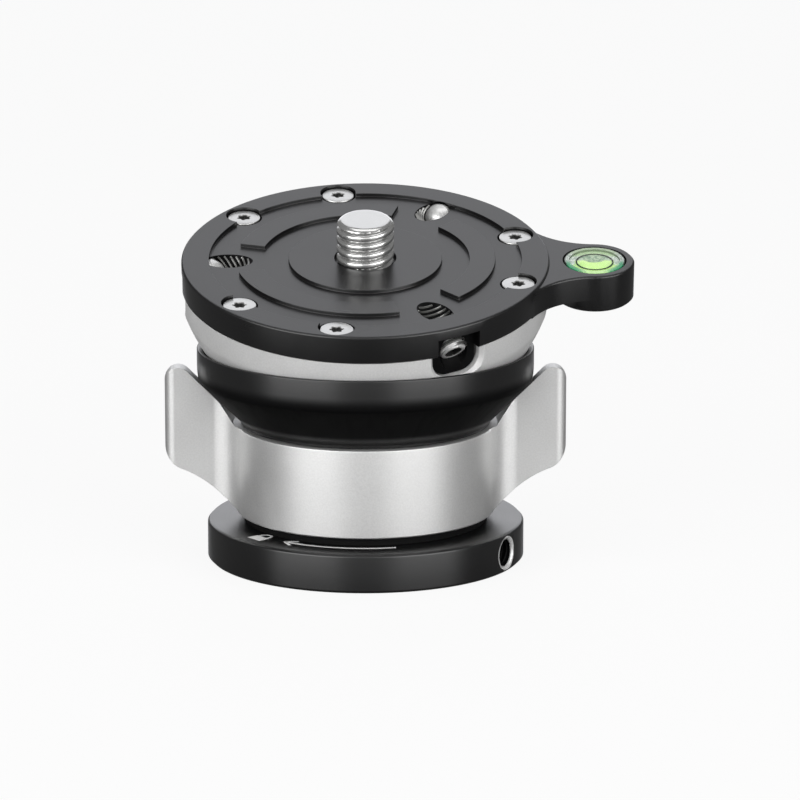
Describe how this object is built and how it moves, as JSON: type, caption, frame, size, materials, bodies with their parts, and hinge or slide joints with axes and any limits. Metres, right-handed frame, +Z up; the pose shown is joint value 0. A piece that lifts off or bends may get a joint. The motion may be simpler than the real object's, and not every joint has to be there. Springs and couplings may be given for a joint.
{
  "type": "leveling base",
  "caption": "Low tripod leveling base: a half ball with a round camera plate and spirit level tilts in a black bowl, clamped by a silver ring with finger wings.",
  "frame": {"origin": "centre of the tripod hole's mouth in the base plate's underside", "axes": "+Z up along the tripod hole and the lock ring's axis, +X towards the spirit level's lobe, -Y the front, to which the top plate leans as it stands"},
  "size_m": [0.0768, 0.0598, 0.0573],
  "materials": {
    "black_anodised": "black anodised, satin",
    "silver_satin": "bead blasted and clear anodised, satin",
    "stainless": "bright turned stainless steel",
    "plain_steel": "plain steel",
    "black_steel": "black oxide steel",
    "bronze": "bearing bronze, plain",
    "black_washer": "black acetal",
    "friction_plastic": "natural acetal",
    "vial_clear": "clear acrylic",
    "vial_green": "yellow-green fluid",
    "vial_pale": "pale backing",
    "vial_ink": "black printed line"
  },
  "bodies": {
    "base": {"base_plate": "black_anodised", "tripod_insert": "stainless", "lower_thrust_washer": "black_washer", "spacer_posts": "plain_steel", "base_screws": "stainless", "upper_thrust_washer": "bronze", "bowl": "black_anodised", "bolt_key_pin": "plain_steel"},
    "base_set": {"base_set_screw": "black_steel"},
    "lock": {"lock_ring": "silver_satin", "lock_nut": "bronze", "disc_springs": "plain_steel"},
    "clamp": {"draw_bolt": "plain_steel", "clamp_dome": "silver_satin", "dome_washer": "plain_steel"},
    "swivel": {"seat_ring": "friction_plastic"},
    "tilt": {"ball_liner": "friction_plastic"},
    "head": {"half_ball": "silver_satin", "top_plate": "black_anodised", "plate_screws": "stainless", "camera_stud": "stainless", "stud_jam_nut": "plain_steel", "vial_cap": "vial_clear", "vial_mark": "vial_ink", "vial_fluid": "vial_green", "vial_backing": "vial_pale"},
    "screw_right": {"security_screw_right": "stainless"},
    "screw_left": {"security_screw_left": "stainless"},
    "screw_front": {"security_screw_front": "stainless"}
  },
  "joints": [
    {"name": "lock_turn", "type": "hinge", "parent": "base", "child": "lock", "pos_m": [0, 0, 0.015], "axis": [0, 0, 1], "range_deg": [0, 70]},
    {"name": "bolt_draw", "type": "slide", "parent": "base", "child": "clamp", "axis": [0, 0, 1], "range_m": [0, 0.0002916]},
    {"name": "head_pan", "type": "hinge", "parent": "base", "child": "swivel", "pos_m": [0, 0, 0.0521], "axis": [0, 0, 1], "continuous": true},
    {"name": "head_tilt", "type": "hinge", "parent": "swivel", "child": "tilt", "pos_m": [0, 0, 0.0521], "axis": [1, 0, 0], "range_deg": [-29, 1]},
    {"name": "head_spin", "type": "hinge", "parent": "tilt", "child": "head", "pos_m": [0, 0, 0.0521], "axis": [0, -0.2419, 0.9703], "continuous": true},
    {"name": "security_screw_right_drive", "type": "slide", "parent": "head", "child": "screw_right", "axis": [-0.383, -0.7992, 0.4632], "range_m": [0, 0.0035]},
    {"name": "security_screw_left_drive", "type": "slide", "parent": "head", "child": "screw_left", "axis": [0.766, -0.1555, 0.6237], "range_m": [0, 0.0035]},
    {"name": "security_screw_front_drive", "type": "slide", "parent": "head", "child": "screw_front", "axis": [-0.383, 0.4882, 0.7842], "range_m": [0, 0.0035]},
    {"name": "base_set_drive", "type": "slide", "parent": "base", "child": "base_set", "axis": [-0.8829, 0.4695, 0], "range_m": [0, 0.006]}
  ],
  "couplings": [
    {"joint": "lock_turn", "follows": "bolt_draw", "rad_per_m": 4188.8}
  ]
}
